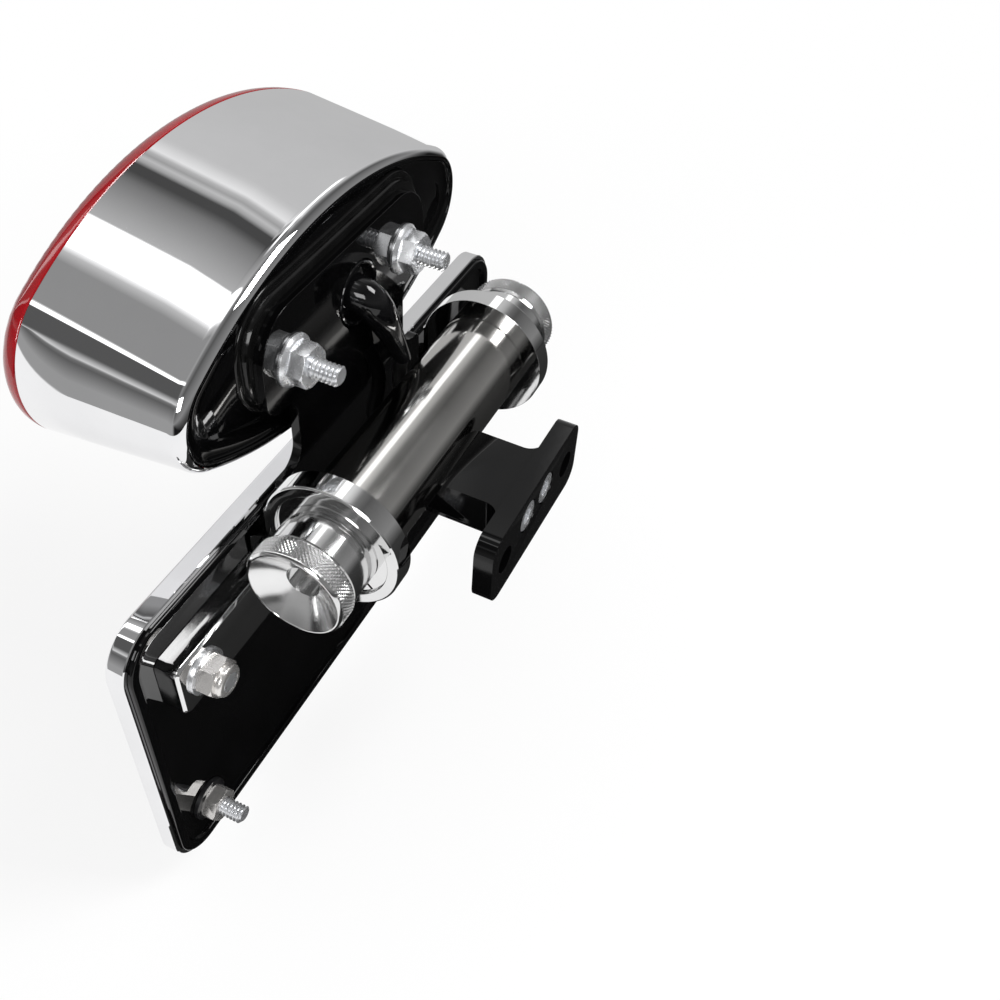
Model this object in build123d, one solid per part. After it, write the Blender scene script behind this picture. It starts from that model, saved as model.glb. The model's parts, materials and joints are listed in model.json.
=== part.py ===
from build123d import *
import math
import os

os.makedirs("parts", exist_ok=True)

# Laydown plate holder: a pivot bar on a fender base carries a swinging carrier
# with the number plate panel and an oval tail lamp, clamped by two knobs.
# Units are millimetres. X runs along the pivot bar, Y points forward to the
# fender, Z points up. Shapes are drawn about the pivot axis and moved once.

# Place of the pivot axis from the centre of the fender bolts
reach = 40.0
axis_height = 12.0

# Clearances
running_gap = 0.05
bolt_gap = 0.3
end_gap = 0.3

# How far a cutter reaches past a face, a joined piece sinks in, and a search looks
past = 1.0
sink = 0.1
near = 0.1

# Pivot bar
bar_r = 14.7
shoulder_half = 43.1
spigot_r = 10.0

# Ring clamps at the ends of the pivot bar
ring_r = 21.0
ring_t = 6.9
recess_r = 17.5
recess_depth = 1.0
foot_front = 13.6
foot_flare = 4.5
ring_edge = 0.5

# Clamping knobs
neck_r = 14.0
neck_len = 12.0
head_r = 15.0
head_w = 7.7
head_edge = 0.8
dish_r = 13.4
dish_depth = 5.0
socket_r = 5.5
socket_depth = 2.6
knob_stud_r = 5.0
knob_stud_grip = 11.0
knob_stud_reach = 24.0

# Fender base
stem_half = 13.0
stem_top = -2.0
stem_h = 13.0
flange_half = 31.0
flange_h = 25.0
flange_t = 6.0
flange_corner = 6.0
fender_hole_r = 4.25
fender_hole_pitch = 44.0
stem_bolt_r = 3.0
stem_bolt_half = 6.5
stem_bolt_head_r = 5.0
stem_bolt_head_h = 6.0
stem_bolt_grip = 9.0
stem_bolt_key = 4.8
stem_fillet = 5.0

# Flat carrier bar
flat_face = 20.0
flat_t = 7.5
flat_h = 20.0
flat_top = -16.0
flat_inset = 11.0
flat_corner = 3.0
flat_edge = 0.8

# Plate frame and back panel
frame_w = 212.0
frame_h = 113.0
frame_top = -1.0
frame_depth = 6.1
frame_wall = 1.6
frame_lip = 9.0
frame_lip_t = 1.5
frame_corner = 14.0
frame_edge = 1.2
panel_t = 3.0
panel_rim = 3.4
panel_rim_h = 1.5
panel_rim_round = 0.7

# Bolts, washers and nuts of the plate
plate_bolt_r = 3.0
plate_head_r = 6.0
plate_head_h = 3.3
plate_head_round = 2.3
plate_bolt_key = 3.9
bar_bolt_inset = 10.0
washer_r = 7.0
washer_t = 1.2
nut_flats = 11.1
nut_h = 5.2
nut_chamfer_share = 0.8
collar_r = 4.9
collar_h = 2.2
collar_round = 1.3
low_bolt_inset = 17.0
low_bolt_rise = 18.5
low_washer_t = 1.5
low_nut_flats = 10.0
low_nut_h = 5.0
low_bolt_end = 13.5

# Lamp bracket
bracket_t = 3.0
pad_half = 42.5
pad_top = 59.5
pad_low = 29.5
pad_corner = 14.0
waist_half = 29.5
waist_low = 5.0
pad_foot_corner = 6.0
waist_corner = 7.0
skirt_half = 40.0
skirt_low = -34.0
skirt_top_corner = 3.0
skirt_corner = 3.5
joggle_top = -9.0
joggle_low = -15.0
bracket_screw_half = 31.0
bracket_screw_z = -25.5
bracket_screw_r = 2.5
bracket_screw_head_r = 4.7
bracket_screw_head_h = 2.8
bracket_screw_round = 1.7
bracket_screw_len = 9.0

# Gasket between bracket and lamp
gasket_half = 47.0
gasket_top = 64.0
gasket_low = 26.5
gasket_corner = 17.0

# Tail lamp
lamp_z = 42.0
shell_back = 24.3
shell_a = 71.5
shell_b = 31.2
shell_end_r = 16.6
flare_a = 2.3
flare_b = 7.1
flare_end_r = 8.7
shell_depth = 47.1
shell_wall = 1.6
shell_lip = 2.4
shell_lip_t = 3.0
shell_roll = 4.5
shell_round = 4.2
base_t = 2.5
base_gap = 0.2
lens_depth = 7.0
lens_wall = 2.5
lens_round = 6.0
lamp_stud_half = 29.5
lamp_stud_r = 3.0
lamp_stud_end = 6.4
lamp_stud_edge = 0.75
lamp_stud_head_r = 5.0
lamp_stud_head_h = 1.6
flange_nut_r = 7.6
flange_nut_base = 1.7
flange_nut_edge = 1.0
flange_nut_h = 6.4
holder_r = 9.5
holder_len = 13.0
bulb_r = 8.5
bulb_neck_r = 6.0
bulb_neck_len = 6.0
bulb_rise = 4.0

# Lamp lead and its boot
cable_x = -4.0
cable_hole_r = 10.0
boot_base_r = 9.7
boot_base_front = 20.5
lead_r = 2.25
plug_w = 10.0
plug_t = 7.5
plug_len = 24.0
plug_edge = 1.5
# Centre, direction and radius of the boot's sections; its tip meets the lead
boot_sections = [
    ((-4.0, -22.5, 42.0), (0.0, 1.0, 0.0), 5.6),
    ((-5.0, -17.2, 39.2), (-0.2, 0.6, -0.75), 5.4),
    ((-8.8, -15.8, 31.2), (-0.4, 0.05, -0.9), 4.6),
    ((-12.8, -15.3, 22.8), (-0.4, -0.05, -0.9), 3.6),
]
boot_tip_r = 2.8
arc_share = 0.45
lead_points = [
    (-17.0, -14.6, 13.0),
    (-19.6, -17.5, 3.5),
    (-20.4, -17.0, -6.5),
    (-20.2, -13.7, -17.0),
    (-19.4, -13.0, -29.0),
    (-17.8, -14.2, -42.0),
    (-16.8, -16.0, -55.0),
]

# Planes that follow from the sizes above
bracket_front = -ring_r
bracket_back = bracket_front - bracket_t
flat_front = -flat_face
panel_front = flat_front - flat_t
panel_back = panel_front - panel_t
flat_len = frame_w - 2 * flat_inset
flat_mid = flat_top - flat_h / 2
bar_bolt_half = flat_len / 2 - bar_bolt_inset
low_bolt_half = frame_w / 2 - low_bolt_inset
low_bolt_z = frame_top - frame_h + low_bolt_rise
recess_x = shoulder_half + ring_t - recess_depth
head_x = recess_x + neck_len
lip_y = -shell_back - shell_lip_t
roll_y = -shell_back - shell_roll
lens_y = -shell_back - shell_depth
base_back = lip_y - base_t
plate_head_y = panel_back - plate_head_h
stem_mid = stem_top - stem_h / 2


def cyl_x(radius, x0, x1):
    length = x1 - x0
    return Pos((x0 + x1) / 2, 0, 0) * Rot(0, 90, 0) * Cylinder(radius, length)


def cyl_y(radius, y0, y1, x=0.0, z=0.0):
    length = y1 - y0
    return Pos(x, (y0 + y1) / 2, z) * Rot(90, 0, 0) * Cylinder(radius, length)


def slab_y(outline, y_front, y_back):
    # The outline's own x and y become X and Z; the slab runs back from y_front
    return extrude(Plane.XZ.offset(-y_front) * outline, amount=y_front - y_back)


def hex_y(flats, y0, y1, x, z):
    outline = Pos(x, z) * RegularPolygon(flats / 2, 6, major_radius=False)
    return slab_y(outline, y1, y0)


def rounded_box_outline(half, top, low, corner):
    width = 2 * half
    height = top - low
    return Pos(0, (top + low) / 2) * RectangleRounded(width, height, corner)


def oval(a, b, end_r):
    # Four-centre oval: two flat arcs joined to two end arcs
    flat_r = ((a - end_r) ** 2 + b**2 - end_r**2) / (2 * (b - end_r))
    tangent_x = (a - end_r) * flat_r / (flat_r - end_r)
    tangent_y = (b - flat_r) + flat_r * (flat_r - b) / (flat_r - end_r)
    upper = ThreePointArc((tangent_x, tangent_y), (0, b), (-tangent_x, tangent_y))
    left = ThreePointArc((-tangent_x, tangent_y), (-a, 0), (-tangent_x, -tangent_y))
    lower = ThreePointArc((-tangent_x, -tangent_y), (0, -b), (tangent_x, -tangent_y))
    right = ThreePointArc((tangent_x, -tangent_y), (a, 0), (tangent_x, tangent_y))
    return make_face(upper + left + lower + right)


def lamp_oval(offset, share):
    # Lamp outline from the rim (share 0) to the lens (share 1), grown by the offset
    a = shell_a + flare_a * share + offset
    b = shell_b + flare_b * share + offset
    end_r = shell_end_r + flare_end_r * share + offset
    return Pos(0, lamp_z) * oval(a, b, end_r)


def lamp_loft(offset, y0, y1):
    # Flared lamp wall between two depths behind the rim plane
    sections = []
    for y in (y0, y1):
        share = (-shell_back - y) / shell_depth
        sections.append(Plane.XZ.offset(-y) * lamp_oval(offset, share))
    return loft(sections, ruled=True)


def rim_slab(offset, y_front, y_back):
    # Slab of the lamp's outline where the rolled rim meets the flared wall
    return slab_y(lamp_oval(offset, shell_roll / shell_depth), y_front, y_back)


def pivot_bar():
    body = cyl_x(bar_r, -shoulder_half, shoulder_half)
    spigot_end = recess_x - end_gap
    body += cyl_x(spigot_r, -spigot_end, spigot_end)
    for side in (-1, 1):
        inner = side * (spigot_end - knob_stud_reach)
        outer = side * (spigot_end + past)
        body -= cyl_x(knob_stud_r + running_gap, min(inner, outer), max(inner, outer))
        hole_start = bar_r - stem_bolt_grip
        body -= cyl_y(stem_bolt_r, hole_start, bar_r + past, side * stem_bolt_half, stem_mid)
    return body


def fender_base():
    stem = Pos(0, reach / 2, stem_mid) * Box(2 * stem_half, reach, stem_h)
    flange_mid = -axis_height
    outline = Pos(0, flange_mid) * RectangleRounded(2 * flange_half, flange_h, flange_corner)
    flange = slab_y(outline, reach, reach - flange_t)
    body = stem + flange
    root_y = reach - flange_t
    root = body.edges().filter_by(Axis.Z).filter_by_position(Axis.Y, root_y - near, root_y + near)
    inner_root = root.filter_by_position(Axis.X, -stem_half - near, stem_half + near)
    body = fillet(inner_root, stem_fillet)
    body -= cyl_x(bar_r, -flange_half, flange_half)
    for side in (-1, 1):
        fender_x = side * fender_hole_pitch / 2
        body -= cyl_y(fender_hole_r, 0, reach + past, fender_x, flange_mid)
        bolt_x = side * stem_bolt_half
        body -= cyl_y(stem_bolt_r + bolt_gap, 0, reach + past, bolt_x, stem_mid)
        head_room = stem_bolt_head_r + bolt_gap
        head_seat = reach - stem_bolt_head_h - bolt_gap
        body -= cyl_y(head_room, head_seat, reach + past, bolt_x, stem_mid)
    return body


def stem_bolts():
    bolts = []
    seat = reach - stem_bolt_head_h - bolt_gap
    for side in (-1, 1):
        x = side * stem_bolt_half
        bolt = cyl_y(stem_bolt_r - running_gap, bar_r - stem_bolt_grip, seat, x, stem_mid)
        head_end = seat + stem_bolt_head_h
        bolt += cyl_y(stem_bolt_head_r, seat, head_end, x, stem_mid)
        bolt -= hex_y(stem_bolt_key, seat + stem_bolt_head_h / 2, head_end, x, stem_mid)
        bolts.append(bolt)
    return Compound(bolts)


def ring_clamp():
    # Drawn for the right-hand end; the left one is its mirror image
    outer = shoulder_half + ring_t
    body = cyl_x(ring_r, shoulder_half, outer)
    rear = -panel_front - end_gap
    hip_z = flat_top + foot_flare
    top = (-ring_r, foot_flare)
    shoulder = (-ring_r, -foot_flare)
    hip = (-rear, hip_z)
    back = Spline(shoulder, hip, tangents=((0, -1), (0, -1)))
    sole = Polyline(hip, (-rear, flat_top), (-foot_front, flat_top), (0, 0), top)
    foot = make_face(Line(top, shoulder) + back + sole)
    body += extrude(Plane.YZ.offset(shoulder_half) * foot, amount=ring_t)
    body -= cyl_x(spigot_r + running_gap, shoulder_half - past, outer + past)
    body -= cyl_x(recess_r, recess_x, outer + past)
    circles = body.edges().filter_by(GeomType.CIRCLE)
    rim = circles.filter_by_position(Axis.X, outer - near, outer + near)
    return chamfer(rim.sort_by(SortBy.RADIUS)[-1:], ring_edge)


def knob():
    # Turned head with a plain neck; the front face is dished down to a socket
    front = head_x + head_w
    body = cyl_x(neck_r, recess_x, head_x)
    head = cyl_x(head_r, head_x, front)
    head = chamfer(head.edges().filter_by(GeomType.CIRCLE), head_edge)
    body += head
    dish_floor = front - dish_depth
    dish = make_face(
        Polyline(
            (0, front + past),
            (dish_r, front + past),
            (dish_r, front),
            (socket_r, dish_floor),
            (socket_r, dish_floor - socket_depth),
            (0, dish_floor - socket_depth),
            (0, front + past),
        )
    )
    body -= Rot(0, 90, 0) * revolve(Plane.XZ * dish, Axis.Z)
    body -= cyl_x(knob_stud_r, recess_x - past, recess_x + knob_stud_grip)
    return body


def knob_stud():
    inner = recess_x - knob_stud_reach
    return cyl_x(knob_stud_r, inner, recess_x + knob_stud_grip)


def carrier_bar():
    outline = Pos(0, flat_mid) * RectangleRounded(flat_len, flat_h, flat_corner)
    body = slab_y(outline, flat_front, panel_front)
    face_edges = body.faces().sort_by(Axis.Y)[-1].edges()
    body = chamfer(face_edges, flat_edge)
    for side in (-1, 1):
        bolt_x = side * bar_bolt_half
        bolt_hole_r = plate_bolt_r + bolt_gap
        body -= cyl_y(bolt_hole_r, panel_front - past, flat_front + past, bolt_x, flat_mid)
        screw_x = side * bracket_screw_half
        depth = flat_front - (bracket_screw_len - bracket_t)
        body -= cyl_y(bracket_screw_r, depth, flat_front + past, screw_x, bracket_screw_z)
    return body


def back_panel():
    half = frame_w / 2 - frame_wall
    top = frame_top - frame_wall
    low = frame_top - frame_h + frame_wall
    corner = frame_corner - frame_wall
    outline = rounded_box_outline(half, top, low, corner)
    inside = rounded_box_outline(
        half - panel_rim, top - panel_rim, low + panel_rim, corner - panel_rim
    )
    body = slab_y(outline, panel_front + panel_rim_h, panel_back)
    body -= slab_y(inside, panel_front + panel_rim_h, panel_front)
    rim = body.faces().sort_by(Axis.Y)[-1].edges()
    body = fillet(rim, panel_rim_round)
    for side in (-1, 1):
        for half_pitch, z in ((bar_bolt_half, flat_mid), (low_bolt_half, low_bolt_z)):
            radius = plate_bolt_r + bolt_gap
            body -= cyl_y(radius, panel_back - past, panel_front + past, side * half_pitch, z)
    return body


def plate_frame():
    half = frame_w / 2
    low = frame_top - frame_h
    outer = rounded_box_outline(half, frame_top, low, frame_corner)
    rear = panel_front - frame_depth
    body = slab_y(outer, panel_front, rear)
    body = fillet(body.faces().sort_by(Axis.Y)[0].edges(), frame_edge)
    inner = rounded_box_outline(
        half - frame_wall, frame_top - frame_wall, low + frame_wall, frame_corner - frame_wall
    )
    body -= slab_y(inner, panel_front + past, rear + frame_lip_t)
    window = rounded_box_outline(
        half - frame_lip, frame_top - frame_lip, low + frame_lip, frame_corner - frame_lip
    )
    return body - slab_y(window, panel_front, rear - past)


def button_bolt(x, z, shank_end):
    # Low domed head behind the panel, shank pointing forward
    head = cyl_y(plate_head_r, plate_head_y, panel_back, x, z)
    head = fillet(head.edges().sort_by(Axis.Y)[:1], plate_head_round)
    socket_end = plate_head_y + plate_head_h / 2
    socket = hex_y(plate_bolt_key, plate_head_y - past, socket_end, x, z)
    shank = cyl_y(plate_bolt_r - running_gap, panel_back - sink, shank_end, x, z)
    return head - socket + shank


def washer(radius, hole_r, y0, thickness, x, z):
    disc = cyl_y(radius, y0, y0 + thickness, x, z)
    return disc - cyl_y(hole_r, y0 - past, y0 + thickness + past, x, z)


def hex_nut(flats, height, hole_r, y0, x, z):
    body = hex_y(flats, y0, y0 + height, x, z)
    corner = flats / math.sqrt(3)
    cone = cyl_y(corner, y0, y0 + height, x, z)
    edge = (corner - flats / 2) * nut_chamfer_share
    cone = chamfer(cone.edges().filter_by(GeomType.CIRCLE), edge)
    return (body & cone) - cyl_y(hole_r, y0 - past, y0 + height + past, x, z)


def lock_nut(y0, x, z):
    body = hex_nut(nut_flats, nut_h, plate_bolt_r, y0, x, z)
    top = y0 + nut_h
    collar = cyl_y(collar_r, top - sink, top + collar_h, x, z)
    collar = fillet(collar.edges().sort_by(Axis.Y)[-1:], collar_round)
    return body + (collar - cyl_y(plate_bolt_r, top - past, top + collar_h + past, x, z))


def flange_nut(x):
    y0 = bracket_front
    disc = cyl_y(flange_nut_r, y0, y0 + flange_nut_base, x, lamp_z)
    disc = chamfer(disc.edges().sort_by(Axis.Y)[-1:], flange_nut_edge)
    body = disc + hex_nut(nut_flats, flange_nut_h, lamp_stud_r, y0, x, lamp_z)
    return body - cyl_y(lamp_stud_r, y0 - past, y0 + flange_nut_h + past, x, lamp_z)


def lamp_stud(x):
    body = cyl_y(lamp_stud_r - running_gap, base_back, -lamp_stud_end, x, lamp_z)
    body = chamfer(body.edges().sort_by(Axis.Y)[-1:], lamp_stud_edge)
    head = cyl_y(lamp_stud_head_r, base_back - lamp_stud_head_h, base_back, x, lamp_z)
    return body + head


def lamp_bracket():
    # Pressed plate: oval pad, waist, and a skirt joggled forward over the bar
    step = flat_front + bracket_t
    side = make_face(
        Polyline(
            (bracket_front, pad_top + past),
            (bracket_front, joggle_top),
            (step, joggle_low),
            (step, skirt_low - past),
            (flat_front, skirt_low - past),
            (flat_front, joggle_low),
            (bracket_back, joggle_top),
            (bracket_back, pad_top + past),
            (bracket_front, pad_top + past),
        )
    )
    sheet = extrude(Plane.YZ.offset(-pad_half) * side, amount=2 * pad_half)
    # Corners of the right half from the top down, each with its radius
    corners = [
        (pad_half, pad_top, pad_corner),
        (pad_half, pad_low, pad_foot_corner),
        (waist_half, pad_low, pad_foot_corner),
        (waist_half, waist_low, waist_corner),
        (skirt_half, waist_low, skirt_top_corner),
        (skirt_half, skirt_low, skirt_corner),
    ]
    corners += [(-x, z, radius) for x, z, radius in reversed(corners)]
    points = [(x, z) for x, z, radius in corners]
    radii = [radius for x, z, radius in corners]
    outline = make_face(FilletPolyline(*points, radius=radii, close=True))
    body = sheet & slab_y(outline, 0, panel_back)
    stud_hole_r = lamp_stud_r + bolt_gap
    screw_hole_r = bracket_screw_r + bolt_gap
    for way in (-1, 1):
        body -= cyl_y(stud_hole_r, bracket_back - past, 0, way * lamp_stud_half, lamp_z)
        screw_x = way * bracket_screw_half
        body -= cyl_y(screw_hole_r, flat_front - past, 0, screw_x, bracket_screw_z)
    return body - cyl_y(cable_hole_r, bracket_back - past, 0, cable_x, lamp_z)


def bracket_screws():
    screws = []
    seat = flat_front + bracket_t
    for side in (-1, 1):
        x = side * bracket_screw_half
        head = cyl_y(bracket_screw_head_r, seat, seat + bracket_screw_head_h, x, bracket_screw_z)
        head = fillet(head.edges().sort_by(Axis.Y)[-1:], bracket_screw_round)
        shank_end = seat - bracket_screw_len
        radius = bracket_screw_r - running_gap
        screws.append(head + cyl_y(radius, shank_end, seat, x, bracket_screw_z))
    return Compound(screws)


def lamp_gasket():
    outline = rounded_box_outline(gasket_half, gasket_top, gasket_low, gasket_corner)
    body = slab_y(outline, bracket_back, lip_y)
    low = lip_y - past
    high = bracket_back + past
    for side in (-1, 1):
        body -= cyl_y(lamp_stud_r + bolt_gap, low, high, side * lamp_stud_half, lamp_z)
    return body - cyl_y(cable_hole_r, low, high, cable_x, lamp_z)


def lamp_base():
    body = rim_slab(-shell_wall - base_gap, lip_y, base_back)
    for side in (-1, 1):
        body -= cyl_y(lamp_stud_r, base_back - past, lip_y + past, side * lamp_stud_half, lamp_z)
    return body


def lamp_shell():
    rim = rim_slab(0, -shell_back, roll_y)
    rim = fillet(rim.faces().sort_by(Axis.Y)[-1].edges(), shell_round)
    rim -= rim_slab(-shell_lip, 0, roll_y - past)
    rim -= rim_slab(-shell_wall, lip_y, roll_y - past)
    wall = lamp_loft(0, roll_y, lens_y)
    wall -= lamp_loft(-shell_wall, roll_y + past, lens_y - past)
    return rim + wall


def lamp_lens():
    body = slab_y(lamp_oval(0, 1), lens_y, lens_y - lens_depth)
    body = fillet(body.faces().sort_by(Axis.Y)[0].edges(), lens_round)
    hollow = slab_y(lamp_oval(-lens_wall, 1), lens_y, lens_y - lens_depth + lens_wall)
    return body - fillet(hollow.faces().sort_by(Axis.Y)[0].edges(), lens_round - lens_wall)


def bulb_holder():
    return cyl_y(holder_r, base_back - holder_len, base_back, 0, lamp_z)


def bulb():
    seat = base_back - holder_len
    neck = cyl_y(bulb_neck_r, seat - bulb_neck_len, seat, 0, lamp_z)
    return neck + Pos(0, seat - bulb_neck_len - bulb_rise, lamp_z) * Sphere(bulb_r)


def lead_boot():
    sections = [Plane(place, z_dir=way) * Circle(radius) for place, way, radius in boot_sections]
    tip = Vector(*lead_points[0])
    tip_way = Vector(*lead_points[1]) - tip
    sections.append(Plane(tip, z_dir=tip_way) * Circle(boot_tip_r))
    seat = cyl_y(boot_base_r, lip_y, -boot_base_front, cable_x, lamp_z)
    return seat + loft(sections)


def corner_radii(points):
    radii = []
    for before, here, after in zip(points, points[1:], points[2:]):
        run_in = Vector(*here) - Vector(*before)
        run_out = Vector(*after) - Vector(*here)
        half_turn = math.radians(run_in.get_angle(run_out)) / 2
        shorter = min(run_in.length, run_out.length)
        radii.append(arc_share * shorter / math.tan(half_turn))
    return radii


def lamp_lead():
    radii = corner_radii(lead_points)
    path = FilletPolyline(*lead_points, radius=radii)
    print("lead radii", [round(r, 1) for r in radii], "length", round(path.length, 1))
    section = Plane(path @ 0, z_dir=path % 0) * Circle(lead_r)
    tube = sweep(section, path=path)
    expected = math.pi * lead_r**2 * path.length
    print("lead volume ratio", round(tube.volume / expected, 4))
    return tube


def lead_plug():
    last = Vector(*lead_points[-1])
    way = (last - Vector(*lead_points[-2])).normalized()
    place = Plane(last, x_dir=(1, 0, 0), z_dir=way)
    block = place * (Pos(0, 0, plug_len / 2) * Box(plug_w, plug_t, plug_len))
    return fillet(block.edges(), plug_edge)


def save(shape, name):
    export_step(Pos(0, -reach, axis_height) * shape, "parts/" + name + ".step")


def save_pair(shape, name):
    save(shape, name + "_right")
    save(mirror(shape, about=Plane.YZ), name + "_left")


save(fender_base(), "fender_base")
save(pivot_bar(), "pivot_bar")
save(stem_bolts(), "stem_bolts")
save_pair(ring_clamp(), "ring_clamp")
save_pair(knob(), "knob")
save_pair(knob_stud(), "knob_stud")
save(carrier_bar(), "carrier_bar")
save(back_panel(), "back_panel")
save(plate_frame(), "plate_frame")
bar_nut_y = flat_front + washer_t
bar_bolt_end = bar_nut_y + nut_h + collar_h
save_pair(button_bolt(bar_bolt_half, flat_mid, bar_bolt_end), "bar_bolt")
washer_hole_r = plate_bolt_r + bolt_gap
bar_washer = washer(washer_r, washer_hole_r, flat_front, washer_t, bar_bolt_half, flat_mid)
save_pair(bar_washer, "bar_washer")
save_pair(lock_nut(bar_nut_y, bar_bolt_half, flat_mid), "bar_nut")
save_pair(button_bolt(low_bolt_half, low_bolt_z, -low_bolt_end), "lower_bolt")
low_washer = washer(
    washer_r, washer_hole_r, panel_front, low_washer_t, low_bolt_half, low_bolt_z
)
save_pair(low_washer, "lower_washer")
low_nut_y = panel_front + low_washer_t
low_nut = hex_nut(low_nut_flats, low_nut_h, plate_bolt_r, low_nut_y, low_bolt_half, low_bolt_z)
save_pair(low_nut, "lower_nut")
save(lamp_bracket(), "lamp_bracket")
save(bracket_screws(), "bracket_screws")
save(lamp_gasket(), "lamp_gasket")
save(lamp_base(), "lamp_base")
save(lamp_shell(), "lamp_shell")
save(lamp_lens(), "lamp_lens")
save_pair(lamp_stud(lamp_stud_half), "lamp_stud")
save_pair(flange_nut(lamp_stud_half), "flange_nut")
save(bulb_holder(), "bulb_holder")
save(bulb(), "bulb")
save(lead_boot(), "lead_boot")
save(lamp_lead(), "lamp_lead")
save(lead_plug(), "lead_plug")
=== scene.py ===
import json
import math

import bmesh
import bpy
from mathutils import Matrix, Vector


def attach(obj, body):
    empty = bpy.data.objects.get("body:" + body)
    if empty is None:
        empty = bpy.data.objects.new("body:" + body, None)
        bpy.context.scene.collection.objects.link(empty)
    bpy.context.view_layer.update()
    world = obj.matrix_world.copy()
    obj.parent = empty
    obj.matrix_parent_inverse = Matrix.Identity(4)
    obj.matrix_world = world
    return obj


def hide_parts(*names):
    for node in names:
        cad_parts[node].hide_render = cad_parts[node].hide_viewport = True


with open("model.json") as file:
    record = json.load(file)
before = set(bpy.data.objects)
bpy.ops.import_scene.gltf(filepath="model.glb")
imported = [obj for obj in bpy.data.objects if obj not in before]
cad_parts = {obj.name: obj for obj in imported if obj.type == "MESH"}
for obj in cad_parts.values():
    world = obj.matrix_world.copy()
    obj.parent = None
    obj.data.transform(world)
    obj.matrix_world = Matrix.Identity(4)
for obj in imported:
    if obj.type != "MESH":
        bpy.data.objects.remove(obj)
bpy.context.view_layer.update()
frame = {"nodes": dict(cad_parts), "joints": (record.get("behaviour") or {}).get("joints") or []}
scene = bpy.context.scene


# Camera. It stands high beside the right-hand knob and looks down and back
# across the holder, at the photograph's angle. Metres, in the holder's frame.

camera_place = Vector((0.21314, 0.07361, 0.23773))
camera_right = Vector((-0.42559, 0.90316, 0.05637))
camera_down = Vector((0.63714, 0.3433, -0.69007))
camera_ahead = Vector((-0.64259, -0.25777, -0.72155))
camera_data = bpy.data.cameras.new("camera")
camera_data.sensor_width = 36
camera_data.lens = 39.53
camera_data.clip_start = 0.01
camera = bpy.data.objects.new("camera", camera_data)
scene.collection.objects.link(camera)
camera_turn = Matrix((camera_right, -camera_down, -camera_ahead)).transposed()
camera.matrix_world = Matrix.Translation(camera_place) @ camera_turn.to_4x4()
scene.camera = camera


# Lamp lead. A vinyl-sheathed two-core lead of 4.5 mm that leaves the boot behind
# the bracket and hangs down between the pivot bar and the back panel.

lead_radius = 0.00225
lead_route = [
    (-0.0170, -0.0546, 0.0250),
    (-0.0196, -0.0575, 0.0155),
    (-0.0204, -0.0570, 0.0055),
    (-0.0202, -0.0537, -0.0050),
    (-0.0194, -0.0530, -0.0170),
    (-0.0178, -0.0542, -0.0300),
    (-0.0168, -0.0560, -0.0430),
]

# Patches of slightly different colour and gloss, as handling and dust leave
drift = bpy.data.node_groups.new("Patchy", "ShaderNodeTree")
for label, kind in (
    ("Vector", "NodeSocketVector"),
    ("Scale", "NodeSocketFloat"),
    ("Dark", "NodeSocketColor"),
    ("Light", "NodeSocketColor"),
    ("Smooth", "NodeSocketFloat"),
    ("Rough", "NodeSocketFloat"),
):
    drift.interface.new_socket(label, in_out="INPUT", socket_type=kind)
drift.interface.new_socket("Color", in_out="OUTPUT", socket_type="NodeSocketColor")
drift.interface.new_socket("Roughness", in_out="OUTPUT", socket_type="NodeSocketFloat")
drift_in = drift.nodes.new("NodeGroupInput")
drift_out = drift.nodes.new("NodeGroupOutput")
drift_noise = drift.nodes.new("ShaderNodeTexNoise")
drift_noise.inputs["Detail"].default_value = 5
drift_noise.inputs["Roughness"].default_value = 0.6
drift_range = drift.nodes.new("ShaderNodeMapRange")
drift_range.inputs["From Min"].default_value = 0.35
drift_range.inputs["From Max"].default_value = 0.65
drift_mix = drift.nodes.new("ShaderNodeMix")
drift_mix.data_type = "RGBA"
drift_gloss = drift.nodes.new("ShaderNodeMapRange")
drift.links.new(drift_in.outputs["Vector"], drift_noise.inputs["Vector"])
drift.links.new(drift_in.outputs["Scale"], drift_noise.inputs["Scale"])
drift.links.new(drift_noise.outputs["Fac"], drift_range.inputs["Value"])
drift.links.new(drift_range.outputs["Result"], drift_mix.inputs["Factor"])
drift.links.new(drift_in.outputs["Dark"], drift_mix.inputs["A"])
drift.links.new(drift_in.outputs["Light"], drift_mix.inputs["B"])
drift.links.new(drift_range.outputs["Result"], drift_gloss.inputs["Value"])
drift.links.new(drift_in.outputs["Smooth"], drift_gloss.inputs["To Min"])
drift.links.new(drift_in.outputs["Rough"], drift_gloss.inputs["To Max"])
drift.links.new(drift_mix.outputs["Result"], drift_out.inputs["Color"])
drift.links.new(drift_gloss.outputs["Result"], drift_out.inputs["Roughness"])

# Fine relief of a surface, even or drawn out into lines by the stretch
grain = bpy.data.node_groups.new("Fine relief", "ShaderNodeTree")
for label, kind in (
    ("Vector", "NodeSocketVector"),
    ("Stretch", "NodeSocketVector"),
    ("Scale", "NodeSocketFloat"),
):
    grain.interface.new_socket(label, in_out="INPUT", socket_type=kind)
grain.interface.new_socket("Height", in_out="OUTPUT", socket_type="NodeSocketFloat")
grain_in = grain.nodes.new("NodeGroupInput")
grain_out = grain.nodes.new("NodeGroupOutput")
grain_draw = grain.nodes.new("ShaderNodeVectorMath")
grain_draw.operation = "MULTIPLY"
grain_noise = grain.nodes.new("ShaderNodeTexNoise")
grain_noise.inputs["Detail"].default_value = 3
grain.links.new(grain_in.outputs["Vector"], grain_draw.inputs[0])
grain.links.new(grain_in.outputs["Stretch"], grain_draw.inputs[1])
grain.links.new(grain_draw.outputs["Vector"], grain_noise.inputs["Vector"])
grain.links.new(grain_in.outputs["Scale"], grain_noise.inputs["Scale"])
grain.links.new(grain_noise.outputs["Fac"], grain_out.inputs["Height"])


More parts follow.
